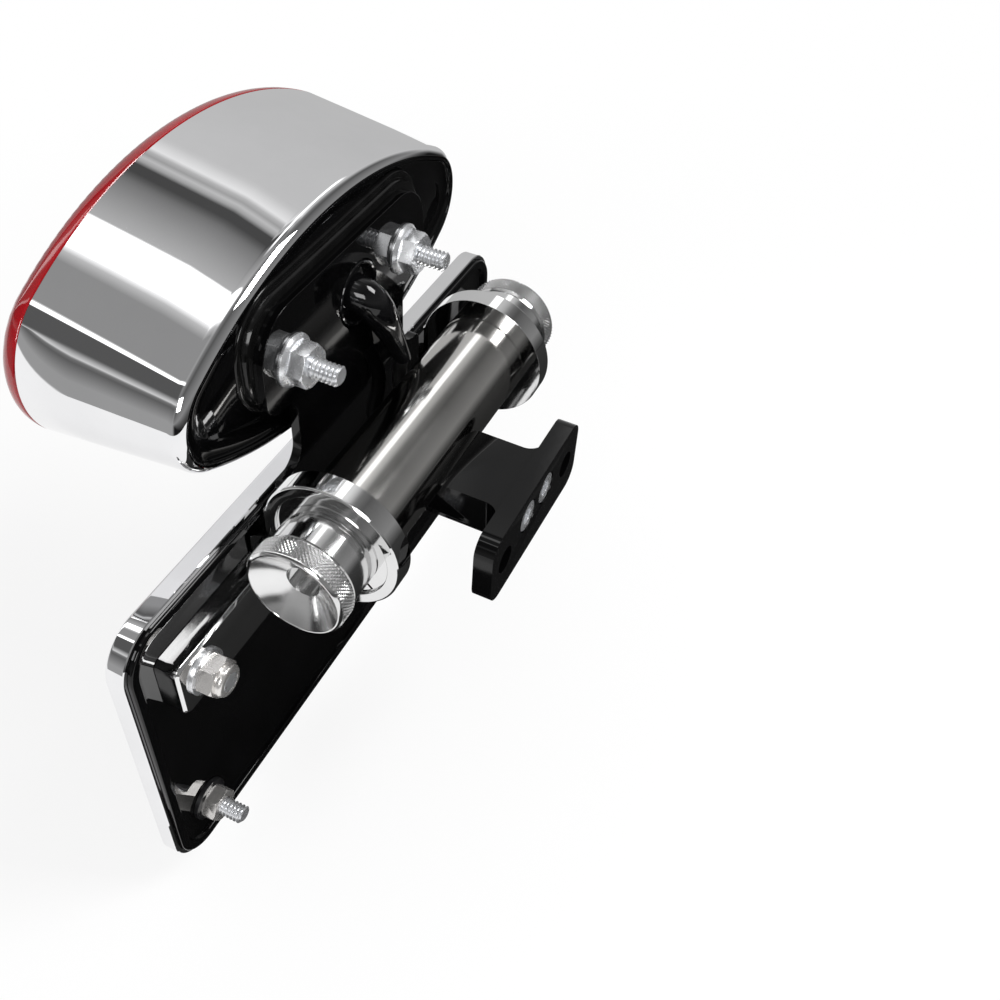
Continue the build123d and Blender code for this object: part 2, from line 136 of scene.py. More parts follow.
def make_finish(name, dark, light, gloss, patches, relief, depth, stretch=(1, 1, 1), **plain):
    # Gloss is the roughness where smooth and where dull. Patches and relief are noise
    # scales per metre, depth is the relief's height, and plain sets the shader's sockets.
    finish = bpy.data.materials.new(name)
    finish.use_nodes = True
    tree = finish.node_tree
    shader = tree.nodes["Principled BSDF"]
    place = tree.nodes.new("ShaderNodeTexCoord")
    patchy = tree.nodes.new("ShaderNodeGroup")
    patchy.node_tree = drift
    patchy.inputs["Scale"].default_value = patches
    patchy.inputs["Dark"].default_value = (*dark, 1)
    patchy.inputs["Light"].default_value = (*light, 1)
    patchy.inputs["Smooth"].default_value = gloss[0]
    patchy.inputs["Rough"].default_value = gloss[1]
    fine = tree.nodes.new("ShaderNodeGroup")
    fine.node_tree = grain
    fine.inputs["Stretch"].default_value = stretch
    fine.inputs["Scale"].default_value = relief
    bump = tree.nodes.new("ShaderNodeBump")
    bump.inputs["Distance"].default_value = depth
    tree.links.new(place.outputs["Object"], patchy.inputs["Vector"])
    tree.links.new(place.outputs["Object"], fine.inputs["Vector"])
    tree.links.new(patchy.outputs["Color"], shader.inputs["Base Color"])
    tree.links.new(patchy.outputs["Roughness"], shader.inputs["Roughness"])
    tree.links.new(fine.outputs["Height"], bump.inputs["Height"])
    tree.links.new(bump.outputs["Normal"], shader.inputs["Normal"])
    for label, value in plain.items():
        shader.inputs[label.replace("_", " ")].default_value = value
    return finish


vinyl = make_finish(
    "black_vinyl",
    dark=(0.006, 0.006, 0.006),
    light=(0.014, 0.014, 0.014),
    gloss=(0.28, 0.42),
    patches=180,
    relief=1800,
    depth=0.00001,
)

lead_curve = bpy.data.curves.new("lead", "CURVE")
lead_curve.dimensions = "3D"
lead_curve.bevel_depth = lead_radius
lead_curve.bevel_resolution = 8
lead_curve.resolution_u = 24
lead_curve.use_fill_caps = True
lead_line = lead_curve.splines.new("NURBS")
lead_line.points.add(len(lead_route) - 1)
for point, place in zip(lead_line.points, lead_route):
    point.co = (*place, 1)
lead_line.order_u = 3
lead_line.use_endpoint_u = True
lead_curve.materials.append(vinyl)
lead = bpy.data.objects.new("lead_sheathed", lead_curve)
scene.collection.objects.link(lead)
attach(lead, "carrier")
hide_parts("lamp_lead")


# Fender base. A welded steel stem and flange in gloss black enamel; two socket
# screws from inside the stem hold the pivot bar against its saddle.

black_paint = make_finish(
    "gloss_black_enamel",
    dark=(0.0012, 0.0012, 0.0013),
    light=(0.002, 0.002, 0.0022),
    gloss=(0.03, 0.06),
    patches=45,
    relief=200,
    depth=0.000008,
    Specular_IOR_Level=0.3,
)
zinc = make_finish(
    "zinc_plate",
    dark=(0.80, 0.81, 0.83),
    light=(0.90, 0.91, 0.93),
    gloss=(0.22, 0.32),
    patches=150,
    relief=1200,
    depth=0.000006,
    Metallic=0.85,
)


def show(bm, name, body, slot, finish, *stands_for, crease=35):
    # Turns a finished bmesh into a piece of the holder that rides on its body
    mesh = bpy.data.meshes.new(name)
    bm.to_mesh(mesh)
    bm.free()
    mesh.shade_smooth()
    mesh.set_sharp_from_angle(angle=math.radians(crease))
    mesh.materials.append(finish)
    piece = bpy.data.objects.new(name, mesh)
    scene.collection.objects.link(piece)
    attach(piece, body)
    if stands_for:
        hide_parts(*stands_for)
    return piece


def refine(node, name, body, slot, finish, edge, cut_y=None):
    # A machined piece keeps the solid's shape and gets its edges broken by a small
    # round that catches the light. What lies in front of cut_y is cut away.
    bm = bmesh.new()
    bm.from_mesh(frame["nodes"][node].data)
    bmesh.ops.remove_doubles(bm, verts=bm.verts, dist=1e-6)
    bmesh.ops.dissolve_limit(
        bm, angle_limit=math.radians(0.2), verts=bm.verts, edges=bm.edges
    )
    if cut_y is not None:
        bmesh.ops.bisect_plane(
            bm,
            geom=bm.verts[:] + bm.edges[:] + bm.faces[:],
            plane_co=(0, cut_y, 0),
            plane_no=(0, 1, 0),
            clear_outer=True,
        )
    piece = show(bm, name, body, slot, finish, node)
    rounds = piece.modifiers.new("broken edges", "BEVEL")
    rounds.width = edge
    rounds.segments = 2
    rounds.limit_method = "ANGLE"
    rounds.angle_limit = math.radians(28)
    rounds.use_clamp_overlap = True
    rounds.harden_normals = True
    return piece


refine("fender_base", "fender_base_enamelled", "mount", "black_paint", black_paint, edge=0.0008)
refine("stem_bolts", "stem_screws_plated", "mount", "zinc_steel", zinc, edge=0.0002)


# Pivot bar. Round alloy bar, turned and then polished along its length, with a
# spigot at each end for the ring clamps. Sizes from here on are millimetres
# about the pivot axis, and settle() puts them in the holder's frame.

bar_r = 14.7
bar_half = 43.1
bar_edge = 0.4
spigot_r = 10.0
spigot_half = 48.7
lathe_steps = 128
weld = 0.001  # corners this near to each other are one
tilt = [joint for joint in frame["joints"] if joint["name"] == "laydown_tilt"][0]
into_frame = Matrix.Translation(tilt["pos_m"]) @ Matrix.Scale(0.001, 4)

polished_bar = make_finish(
    "polished_bar",
    dark=(0.62, 0.61, 0.59),
    light=(0.66, 0.65, 0.63),
    gloss=(0.09, 0.13),
    patches=40,
    relief=700,
    depth=0.000002,
    stretch=(0.25, 3, 3),
    Metallic=1,
)


def draw(bm, *points, last=None):
    # A line through these points, on from the last corner; gives its new last corner
    for point in points:
        corner = bm.verts.new(point)
        if last:
            bm.edges.new((last, corner))
        last = corner
    return last


def settle(bm):
    # Closes the seams, turns the faces outwards and puts the piece in its place
    bmesh.ops.remove_doubles(bm, verts=bm.verts, dist=weld)
    bmesh.ops.recalc_face_normals(bm, faces=bm.faces)
    bmesh.ops.transform(bm, matrix=into_frame, verts=bm.verts)
    return bm


def lathe(bm, steps=lathe_steps):
    # Spins what is drawn above the pivot axis into a turned piece
    bmesh.ops.spin(
        bm,
        geom=bm.verts[:] + bm.edges[:],
        cent=(0, 0, 0),
        axis=(1, 0, 0),
        angle=2 * math.pi,
        steps=steps,
        use_merge=True,
    )


bm = bmesh.new()
draw(
    bm,
    (-spigot_half, 0, 0),
    (-spigot_half, 0, spigot_r),
    (-bar_half, 0, spigot_r),
    (-bar_half, 0, bar_r - bar_edge),
    (-bar_half + bar_edge, 0, bar_r),
    (bar_half - bar_edge, 0, bar_r),
    (bar_half, 0, bar_r - bar_edge),
    (bar_half, 0, spigot_r),
    (spigot_half, 0, spigot_r),
    (spigot_half, 0, 0),
)
lathe(bm)
show(settle(bm), "pivot_bar_polished", "mount", "polished_alloy", polished_bar, "pivot_bar")


# Ring clamps. Turned alloy rings, one on each spigot, with a foot that is welded
# to the flat bar and blended in; buffed to a mirror.

mirror_alloy = make_finish(
    "mirror_alloy",
    dark=(0.75, 0.75, 0.75),
    light=(0.79, 0.79, 0.79),
    gloss=(0.03, 0.06),
    patches=60,
    relief=900,
    depth=0.000001,
    Metallic=1,
)
for side in ("right", "left"):
    refine(
        "ring_clamp_" + side,
        "ring_clamp_polished_" + side,
        "carrier",
        "polished_alloy",
        mirror_alloy,
        edge=0.0003,
    )


# Clamping knobs. Turned alloy: a plain neck that bears on the ring, a head with
# a diamond knurl, and a dished, polished face with a hole down to the stud.

neck_r = 14.0
neck_start = 49.0
neck_edge = 0.4
head_start = 61.0
head_end = 68.7
head_r = 15.0
head_edge = 0.8
corner_edge = 0.25
face_edge = 0.3
dish_r = 13.4
dish_edge = 0.15
dish_depth = 5.0
dish_bends = ((1.6, 1.9), (3.2, 4.6), (4.4, 7.1))  # depth, and way in from the dish's edge
dish_steps = 96
socket_r = 5.1
socket_depth = 2.6
knurl_depth = 0.5
knurl_rows = 5
knurl_steps = 76

turned_alloy = make_finish(
    "turned_alloy",
    dark=(0.75, 0.75, 0.75),
    light=(0.79, 0.79, 0.79),
    gloss=(0.09, 0.14),
    patches=60,
    relief=900,
    depth=0.0000015,
    stretch=(6, 0.4, 0.4),
    Metallic=1,
)
buffed_alloy = make_finish(
    "buffed_alloy",
    dark=(0.82, 0.82, 0.82),
    light=(0.88, 0.88, 0.88),
    gloss=(0.16, 0.22),
    patches=60,
    relief=900,
    depth=0.000001,
    Metallic=1,
)
knurled_alloy = make_finish(
    "knurled_alloy",
    dark=(0.74, 0.74, 0.74),
    light=(0.80, 0.80, 0.80),
    gloss=(0.16, 0.24),
    patches=200,
    relief=1800,
    depth=0.000002,
    Metallic=1,
)

dish_floor = head_end - dish_depth
socket_floor = dish_floor - socket_depth
knurl_low = head_start + head_edge
knurl_high = head_end - head_edge
knurl_r = head_r - knurl_depth
knurl_pitch = (knurl_high - knurl_low) / knurl_rows
for side, body, way in (("right", "knob_r", 1), ("left", "knob_l", -1)):
    bm = bmesh.new()
    draw(
        bm,
        (way * neck_start, 0, 0),
        (way * neck_start, 0, neck_r - neck_edge),
        (way * (neck_start + neck_edge), 0, neck_r),
        (way * head_start, 0, neck_r),
        (way * head_start, 0, knurl_r - face_edge),
        (way * knurl_low, 0, knurl_r),
    )
    draw(
        bm,
        (way * knurl_high, 0, knurl_r),
        (way * (head_end - corner_edge), 0, head_r - head_edge),
        (way * head_end, 0, head_r - head_edge - face_edge),
        (way * head_end, 0, dish_r + dish_edge),
        (way * (head_end - dish_edge), 0, dish_r),
    )
    draw(
        bm,
        (way * dish_floor, 0, socket_r),
        (way * socket_floor, 0, socket_r),
        (way * socket_floor, 0, 0),
    )
    lathe(bm, knurl_steps)
    show(settle(bm), "knob_turned_" + side, body, "turned_alloy", turned_alloy, "knob_" + side)

    # The dished face, buffed to a soft shine
    bm = bmesh.new()
    draw(
        bm,
        (way * (head_end - dish_edge), 0, dish_r),
        *[(way * (head_end - deep), 0, dish_r - inward) for deep, inward in dish_bends],
        (way * dish_floor, 0, socket_r),
    )
    lathe(bm, dish_steps)
    show(settle(bm), "knob_dish_" + side, body, "turned_alloy", buffed_alloy, crease=60)

    # A plain band, turned into a lattice of diamonds, each raised to a point
    bm = bmesh.new()
    rows = [knurl_low + row * knurl_pitch for row in range(knurl_rows + 1)]
    draw(bm, *[(way * along, 0, knurl_r) for along in rows])
    lathe(bm, knurl_steps)
    bmesh.ops.remove_doubles(bm, verts=bm.verts, dist=weld)
    bmesh.ops.recalc_face_normals(bm, faces=bm.faces)
    bm.faces.ensure_lookup_table()
    across = bm.faces[0].calc_center_median()
    if bm.faces[0].normal.y * across.y + bm.faces[0].normal.z * across.z < 0:
        bmesh.ops.reverse_faces(bm, faces=bm.faces)
    plain_edges = [edge for edge in bm.edges if not edge.is_boundary]
    bmesh.ops.poke(bm, faces=bm.faces)
    bmesh.ops.dissolve_edges(bm, edges=plain_edges, use_verts=False)
    diamonds = [face for face in bm.faces if len(face.verts) == 4]
    bmesh.ops.poke(bm, faces=diamonds, offset=knurl_depth)
    show(settle(bm), "knob_knurl_" + side, body, "turned_alloy", knurled_alloy, crease=12)

    # The stud that the knob screws in on
    frame["nodes"]["knob_stud_" + side].material_slots[0].material = zinc


# Flat bar. Alloy flat, 20 by 7.5 mm, with rounded corners, polished all round and
# bolted across the top of the back panel.

flat_alloy = make_finish(
    "flat_alloy",
    dark=(0.80, 0.80, 0.80),
    light=(0.84, 0.84, 0.84),
    gloss=(0.05, 0.09),
    patches=60,
    relief=1500,
    depth=0.0000005,
    stretch=(0.15, 2, 2),
    Metallic=1,
)
refine(
    "carrier_bar", "carrier_bar_polished", "carrier", "polished_alloy", flat_alloy, edge=0.0004
)


# Back panel. Pressed steel in gloss black with a raised bead along its edge; the
# number plate lies behind it, inside the frame.

panel_half = 104.4
panel_top = -2.6
panel_low = -112.4
panel_corner = 12.4
panel_back = -30.5
panel_face = -27.5
panel_edge = 0.15
panel_rear_lip = 0.5
bead_w = 3.4
bead_h = 1.5
bead_round = 0.7
bead_foot = 0.25
bead_run = 0.9
bend_steps = 6


def corners_in(parts):
    return [part for part in parts if isinstance(part, bmesh.types.BMVert)]


def edges_in(parts):
    return [part for part in parts if isinstance(part, bmesh.types.BMEdge)]


def bend(bm, corner, centre, degrees):
    # Carries a drawn line on round an arc in the upright plane
    turn = math.radians(degrees)
    arc = bmesh.ops.spin(
        bm, geom=[corner], cent=centre, axis=(1, 0, 0), angle=turn, steps=bend_steps
    )
    return corners_in(arc["geom_last"])[0]


def slide(bm, section, move):
    # Leads a section on in a straight line
    out = bmesh.ops.extrude_edge_only(bm, edges=edges_in(section))["geom"]
    corners = corners_in(out)
    bmesh.ops.translate(bm, verts=corners, vec=move)
    return corners + [edge for edge in edges_in(out) if set(edge.verts) <= set(corners)]


def roll(bm, section, centre, degrees, steps):
    # Leads a section on round a corner
    turn = math.radians(degrees)
    arc = bmesh.ops.spin(
        bm, geom=section, cent=centre, axis=(0, 1, 0), angle=turn, steps=steps
    )
    return arc["geom_last"]


def round_box(bm, half, top, low, corner, steps=14):
    # Leads the section drawn at the top's middle round a box with round corners
    across = half - corner
    tall = top - low - 2 * corner
    section = bm.verts[:] + bm.edges[:]
    section = slide(bm, section, (across, 0, 0))
    section = roll(bm, section, (across, 0, top - corner), 90, steps)
    section = slide(bm, section, (0, 0, -tall))
    section = roll(bm, section, (across, 0, low + corner), 90, steps)
    section = slide(bm, section, (-2 * across, 0, 0))
    section = roll(bm, section, (-across, 0, low + corner), 90, steps)
    section = slide(bm, section, (0, 0, tall))
    section = roll(bm, section, (-across, 0, top - corner), 90, steps)
    slide(bm, section, (across, 0, 0))
    bmesh.ops.remove_doubles(bm, verts=bm.verts, dist=weld)


def close_faces(bm):
    # Fills the flat openings that the sweep leaves
    bmesh.ops.holes_fill(bm, edges=[edge for edge in bm.edges if edge.is_boundary], sides=0)


bm = bmesh.new()
bead_top = panel_face + bead_h
bead_inside = panel_top - bead_w
corner = draw(
    bm,
    (0, panel_back, panel_top - panel_rear_lip),
    (0, panel_back, panel_top - panel_edge),
    (0, panel_back + panel_edge, panel_top),
    (0, bead_top - bead_round, panel_top),
)
corner = bend(bm, corner, (0, bead_top - bead_round, panel_top - bead_round), -90)
corner = draw(bm, (0, bead_top, bead_inside + bead_round), last=corner)
corner = bend(bm, corner, (0, bead_top - bead_round, bead_inside + bead_round), -75)
draw(
    bm,
    (0, panel_face + bead_foot, bead_inside - bead_foot),
    (0, panel_face, bead_inside - bead_run),
    last=corner,
)
round_box(bm, panel_half, panel_top, panel_low, panel_corner)
close_faces(bm)
show(settle(bm), "back_panel_enamelled", "carrier", "black_paint", black_paint, "back_panel")


# Plate frame. Pressed steel, chromed: a shallow wall round the panel whose lip
# turns in over the number plate at the rear.

frame_wall = 1.6
frame_half = panel_half + frame_wall
frame_top = panel_top + frame_wall
frame_low = panel_low - frame_wall
frame_corner = panel_corner + frame_wall
frame_front = panel_face
frame_rear = -33.6
frame_steps = 24
frame_lip = 9.0
frame_lip_t = 1.5
frame_round = 1.2
frame_edge = 0.3
lip_edge = 0.4
wall_edge = 0.2

chrome = make_finish(
    "chrome_plate",
    dark=(0.84, 0.84, 0.85),
    light=(0.87, 0.87, 0.88),
    gloss=(0.012, 0.03),
    patches=50,
    relief=300,
    depth=0.000001,
    Metallic=1,
)

bm = bmesh.new()
start = bm.verts.new((0, frame_front - frame_edge, frame_top))
corner = draw(bm, (0, frame_rear + frame_round, frame_top), last=start)
corner = bend(bm, corner, (0, frame_rear + frame_round, frame_top - frame_round), 90)
lip_low = frame_top - frame_lip
lip_front = frame_rear + frame_lip_t
corner = draw(
    bm,
    (0, frame_rear, lip_low + lip_edge),
    (0, frame_rear + lip_edge, lip_low),
    (0, lip_front - frame_edge, lip_low),
    (0, lip_front, lip_low + frame_edge),
    (0, lip_front, frame_top - frame_wall),
    (0, frame_front - wall_edge, frame_top - frame_wall),
    (0, frame_front, frame_top - frame_wall + wall_edge),
    (0, frame_front, frame_top - frame_edge),
    last=corner,
)
bm.edges.new((corner, start))
round_box(bm, frame_half, frame_top, frame_low, frame_corner, frame_steps)
show(settle(bm), "plate_frame_chromed", "carrier", "chrome", chrome, "plate_frame")


# Plate hardware. Low round-headed bolts from behind; lock nuts on plain washers
# hold the flat bar, hexagon nuts on black washers hold the panel's lower corners.

low_bolt_x = 89.0
low_bolt_z = -95.5
low_bolt_start = -24.5
low_bolt_end = -13.5
low_bolt_cut = -0.0635  # metres; the scene's thread takes over from the solid's shank here
bolt_r = 2.95
coarse_pitch = 1.27
thread_depth = 0.54  # this and the crest's two edges are shares of the pitch
crest_start = 0.44
crest_end = 0.56
thread_steps = 28
point_len = 0.35

black_washer = make_finish(
    "black_oxide",
    dark=(0.006, 0.006, 0.007),
    light=(0.014, 0.014, 0.015),
    gloss=(0.25, 0.45),
    patches=300,
    relief=2000,
    depth=0.00002,
)
nut_steel = make_finish(
    "bright_nut_steel",
    dark=(0.74, 0.72, 0.70),
    light=(0.84, 0.82, 0.80),
    gloss=(0.18, 0.28),
    patches=120,
    relief=900,
    depth=0.000006,
    Metallic=0.85,
)
for side in ("right", "left"):
    for node, name, slot, finish, edge, cut_y in (
        ("bar_bolt_", "bar_bolt_plated_", "zinc_steel", zinc, 0.0002, None),
        ("lower_bolt_", "lower_bolt_plated_", "zinc_steel", zinc, 0.0002, low_bolt_cut),
        ("bar_washer_", "bar_washer_plated_", "zinc_steel", zinc, 0.00015, None),
        ("lower_washer_", "lower_washer_black_", "black_paint", black_washer, 0.0002, None),
        ("bar_nut_", "bar_nut_lock_", "zinc_steel", nut_steel, 0.0003, None),
        ("lower_nut_", "lower_nut_hex_", "zinc_steel", nut_steel, 0.0003, None),
    ):
        refine(node + side, name + side, "carrier", slot, finish, edge, cut_y)


def thread(radius, pitch, x, z, start, end):
    # One tooth's flanks, led round and along the bolt, then cut square at both ends
    bm = bmesh.new()
    root_r = radius - thread_depth * pitch
    turns = math.ceil((end - start) / pitch) + 2
    first = start - pitch
    draw(
        bm,
        (x, first, z + root_r),
        (x, first + crest_start * pitch, z + radius),
        (x, first + crest_end * pitch, z + radius),
        (x, first + pitch, z + root_r),
    )
    bmesh.ops.spin(
        bm,
        geom=bm.verts[:] + bm.edges[:],
        cent=(x, 0, z),
        axis=(0, 1, 0),
        dvec=(0, pitch / thread_steps, 0),
        angle=2 * math.pi * turns,
        steps=thread_steps * turns,
    )
    bmesh.ops.remove_doubles(bm, verts=bm.verts, dist=2 * weld)
    bmesh.ops.recalc_face_normals(bm, faces=bm.faces)
    for level, normal in ((start, (0, -1, 0)), (end, (0, 1, 0))):
        bmesh.ops.bisect_plane(
            bm,
            geom=bm.verts[:] + bm.edges[:] + bm.faces[:],
            plane_co=(x, level, z),
            plane_no=normal,
            clear_outer=True,
        )
    # Both ends are closed outwards and drawn in to a blunt point
    known = set(bm.faces)
    close_faces(bm)
    ends = [face for face in bm.faces if face not in known]
    for face in ends:
        outward = 1 if face.calc_center_median().y > (start + end) / 2 else -1
        if face.normal.y * outward < 0:
            face.normal_flip()
    bmesh.ops.inset_individual(bm, faces=ends, thickness=point_len, depth=point_len)
    return bm


for side, way in (("right", 1), ("left", -1)):
    bolt_x = way * low_bolt_x
    bolt_end = low_bolt_end - point_len
    bm = thread(bolt_r, coarse_pitch, bolt_x, low_bolt_z, low_bolt_start, bolt_end)
    show(settle(bm), "lower_bolt_thread_" + side, "carrier", "zinc_steel", zinc, crease=40)


# Lamp bracket. Plate steel, 3 mm, cut to a pad, a waist and a skirt, joggled over
# the flat bar, enamelled black and held by two dome-headed screws.

refine(
    "lamp_bracket", "lamp_bracket_enamelled", "carrier", "black_paint", black_paint, edge=0.0007
)
refine("bracket_screws", "bracket_screws_plated", "carrier", "zinc_steel", zinc, edge=0.0002)


# Gasket. Moulded rubber between bracket and lamp, a little larger than the pad,
# with a step round its edge.

gasket_half = 47.0
gasket_top = 64.0
gasket_low = 26.5
gasket_corner = 17.0
gasket_back = -27.3
gasket_face = -24.0
gasket_edge = 0.1
gasket_swell = 0.9
gasket_round = 0.8
gasket_step = ((1.7, 1.9), (0.9, 2.1), (0.3, 2.4), (0, 3.1))  # depth behind the face, way in

rubber = make_finish(
    "black_rubber",
    dark=(0.0025, 0.0025, 0.0025),
    light=(0.005, 0.005, 0.005),
    gloss=(0.1, 0.18),
    patches=120,
    relief=1100,
    depth=0.000008,
    Specular_IOR_Level=0.35,
)
bm = bmesh.new()
corner = draw(
    bm, (0, gasket_back, gasket_top - gasket_edge), (0, gasket_back + gasket_swell, gasket_top)
)
corner = bend(bm, corner, (0, gasket_back + gasket_swell, gasket_top - gasket_round), -80)
step = [(0, gasket_face - deep, gasket_top - inward) for deep, inward in gasket_step]
draw(bm, *step, last=corner)
round_box(bm, gasket_half, gasket_top, gasket_low, gasket_corner)
close_faces(bm)
show(settle(bm), "lamp_gasket_moulded", "carrier", "black_rubber", rubber, "lamp_gasket")


# Tail lamp. Drawn steel shell, chromed, whose wall flares to the lens and rolls
# in over a dished black base; the red lens is a shallow moulded cap at the rear.

lamp_z = 42.0
shell_a = 71.5
shell_b = 31.2
shell_end_r = 16.6
flare_a = 2.3
flare_b = 7.1
flare_end_r = 8.7
rim_y = -24.3
roll_y = -28.8
lip_y = gasket_back
lens_y = -71.4
wall_rings = (15, 30)  # how far in front of the lens
side_steps = 22
tip_steps = 56
shell_wall = 1.6
rim_round = 4.2
rim_turns = (0, 8, 16, 24, 32, 40, 48, 56, 62)  # degrees round the rolled rim
lip = 2.4
lip_gap = 0.05
lens_edge = 0.2
base_wall = 1.2
base_dish = (
    (0.9, 0.1),
    (1.9, 0.3),
    (2.7, 1.0),
    (3.3, 2.2),
    (3.6, 4.0),
    (3.65, 6.0),
    (3.4, 7.8),
    (3.05, 8.8),
)  # depth behind the rim, and way in from the lip


def share_at(y):
    # How far the wall has flared there, from 0 at the rim to 1 at the lens
    return (rim_y - y) / (rim_y - lens_y)


def oval_ring(bm, y, share, offset):
    # One loop of the lamp's outline, four arcs led round from its top
    half = shell_a + flare_a * share + offset
    tall = shell_b + flare_b * share + offset
    tip_r = shell_end_r + flare_end_r * share + offset
    flat_r = ((half - tip_r) ** 2 + tall**2 - tip_r**2) / (2 * (tall - tip_r))
    drop = flat_r - tall
    turn = math.degrees(math.atan2(half - tip_r, drop))
    known = set(bm.edges)
    corner = bm.verts.new((0, y, lamp_z + tall))
    for centre, degrees, steps in (
        ((0, y, lamp_z - drop), turn, side_steps),
        ((half - tip_r, y, lamp_z), 180 - 2 * turn, tip_steps),
        ((0, y, lamp_z + drop), 2 * turn, 2 * side_steps),
        ((tip_r - half, y, lamp_z), 180 - 2 * turn, tip_steps),
        ((0, y, lamp_z - drop), turn, side_steps),
    ):
        corner = corners_in(roll(bm, [corner], centre, degrees, steps))[0]
    loop = [edge for edge in bm.edges if edge not in known]
    corners = list({vert for edge in loop for vert in edge.verts})
    bmesh.ops.remove_doubles(bm, verts=corners, dist=weld)
    return [edge for edge in bm.edges if edge not in known]


def stretch_over(bm, rings):
    # Skins the lamp's outline through these rings of depth, share and offset
    loops = [oval_ring(bm, *ring) for ring in rings]
    for near, far in zip(loops, loops[1:]):
        bmesh.ops.bridge_loops(bm, edges=near + far)
    return loops


rim_share = share_at(roll_y)
rim_rings = []
for turn in map(math.radians, rim_turns):
    along = rim_y - rim_round * (1 - math.sin(turn))
    rim_rings.append((along, rim_share, -rim_round * (1 - math.cos(turn))))
bm = bmesh.new()
rings = [
    (lens_y, 1, -lens_edge),
    (lens_y + lens_edge, 1, 0),
    *[(lens_y + along, share_at(lens_y + along), 0) for along in wall_rings],
    (roll_y, rim_share, 0),
    *rim_rings,
    (rim_rings[-1][0] - 2 * lip_gap, rim_share, -lip - lip_gap),
    (lip_y, rim_share, -lip - lip_gap),
    (lip_y, rim_share, -shell_wall),
    (roll_y, rim_share, -shell_wall),
    (lens_y, 1, -shell_wall),
]
loops = stretch_over(bm, rings)
bmesh.ops.bridge_loops(bm, edges=loops[-1] + loops[0])
show(settle(bm), "lamp_shell_chromed", "carrier", "chrome", chrome, "lamp_shell", crease=50)

bm = bmesh.new()
loops = stretch_over(bm, [(rim_y - deep, rim_share, -lip - inward) for deep, inward in base_dish])
bmesh.ops.holes_fill(bm, edges=loops[-1], sides=0)
base = show(settle(bm), "lamp_base_dished", "carrier", "black_paint", black_paint, "lamp_base")
skin = base.modifiers.new("sheet", "SOLIDIFY")
skin.thickness = base_wall / 1000
skin.offset = -1

lens_depth = 7.0
lens_round = 6.0
lens_wall = 2.5
lens_turns = range(0, 91, 9)  # degrees round the lens's edge
flute_pitch = 3.0
flute_depth = 0.0004
flute_start = -0.1150  # metres; the lens's side is smooth in front of this
flute_full = -0.1180
wave_length = 2 * math.pi / 20  # metres from band to band of a wave texture at scale 1
red_lens = make_finish(
    "red_lens",
    dark=(0.40, 0.004, 0.008),
    light=(0.50, 0.008, 0.016),
    gloss=(0.03, 0.07),
    patches=60,
    relief=420,
    depth=0.00001,
    Transmission_Weight=0.4,
    IOR=1.49,
    Coat_Weight=0.4,
    Coat_Roughness=0.03,
)
# Upright flutes moulded in the lens, which spread the bulb's light
tree = red_lens.node_tree
flutes = tree.nodes.new("ShaderNodeTexWave")
flutes.bands_direction = "X"
flutes.inputs["Scale"].default_value = wave_length / (flute_pitch / 1000)
fluted = tree.nodes.new("ShaderNodeBump")
fluted.inputs["Distance"].default_value = flute_depth
place = tree.nodes["Texture Coordinate"].outputs["Object"]
tree.links.new(place, flutes.inputs["Vector"])
tree.links.new(flutes.outputs["Fac"], fluted.inputs["Height"])
depth = tree.nodes.new("ShaderNodeSeparateXYZ")
rear_only = tree.nodes.new("ShaderNodeMapRange")
rear_only.inputs["From Min"].default_value = flute_start
rear_only.inputs["From Max"].default_value = flute_full
tree.links.new(place, depth.inputs[0])
tree.links.new(depth.outputs["Y"], rear_only.inputs["Value"])
tree.links.new(rear_only.outputs["Result"], fluted.inputs["Strength"])
tree.links.new(tree.nodes["Bump"].outputs["Normal"], fluted.inputs["Normal"])
tree.links.new(fluted.outputs["Normal"], tree.nodes["Principled BSDF"].inputs["Normal"])

bm = bmesh.new()
turn_y = lens_y - lens_depth + lens_round
rings = [(lens_y, 1, 0)]
for turn in map(math.radians, lens_turns):
    rings.append((turn_y - lens_round * math.sin(turn), 1, -lens_round * (1 - math.cos(turn))))
loops = stretch_over(bm, rings)
bmesh.ops.holes_fill(bm, edges=loops[-1], sides=0)
lens = show(settle(bm), "lamp_lens_moulded", "carrier", "red_lens", red_lens, "lamp_lens")
skin = lens.modifiers.new("wall", "SOLIDIFY")
skin.thickness = lens_wall / 1000
skin.offset = -1

bulb_glass = make_finish(
    "bulb_glass",
    dark=(0.95, 0.95, 0.95),
    light=(1, 1, 1),
    gloss=(0.0, 0.03),
    patches=200,
    relief=900,
    depth=0.000005,
    Transmission_Weight=1,
    IOR=1.47,
)
frame["nodes"]["bulb"].material_slots[0].material = bulb_glass
refine("bulb_holder", "bulb_holder_plated", "carrier", "zinc_steel", zinc, edge=0.0004)


# Lamp studs. Plated quarter-inch studs from the lamp's base through gasket and
# bracket, each with a serrated flange nut.

stud_x = 29.5
stud_start = -29.0
stud_end = -6.4
for side, way in (("right", 1), ("left", -1)):
    bm = thread(bolt_r, coarse_pitch, way * stud_x, lamp_z, stud_start, stud_end - point_len)
    show(
        settle(bm),
        "lamp_stud_threaded_" + side,
        "carrier",
        "zinc_steel",
        zinc,
        "lamp_stud_" + side,
        crease=40,
    )
    nut_name = "flange_nut_plated_" + side
    refine("flange_nut_" + side, nut_name, "carrier", "zinc_steel", zinc, edge=0.0003)


# Boot. Moulded rubber grommet with a drop-shaped spout that fills the hole in
# the bracket and tapers down onto the lead; the plug hangs at the lead's end.

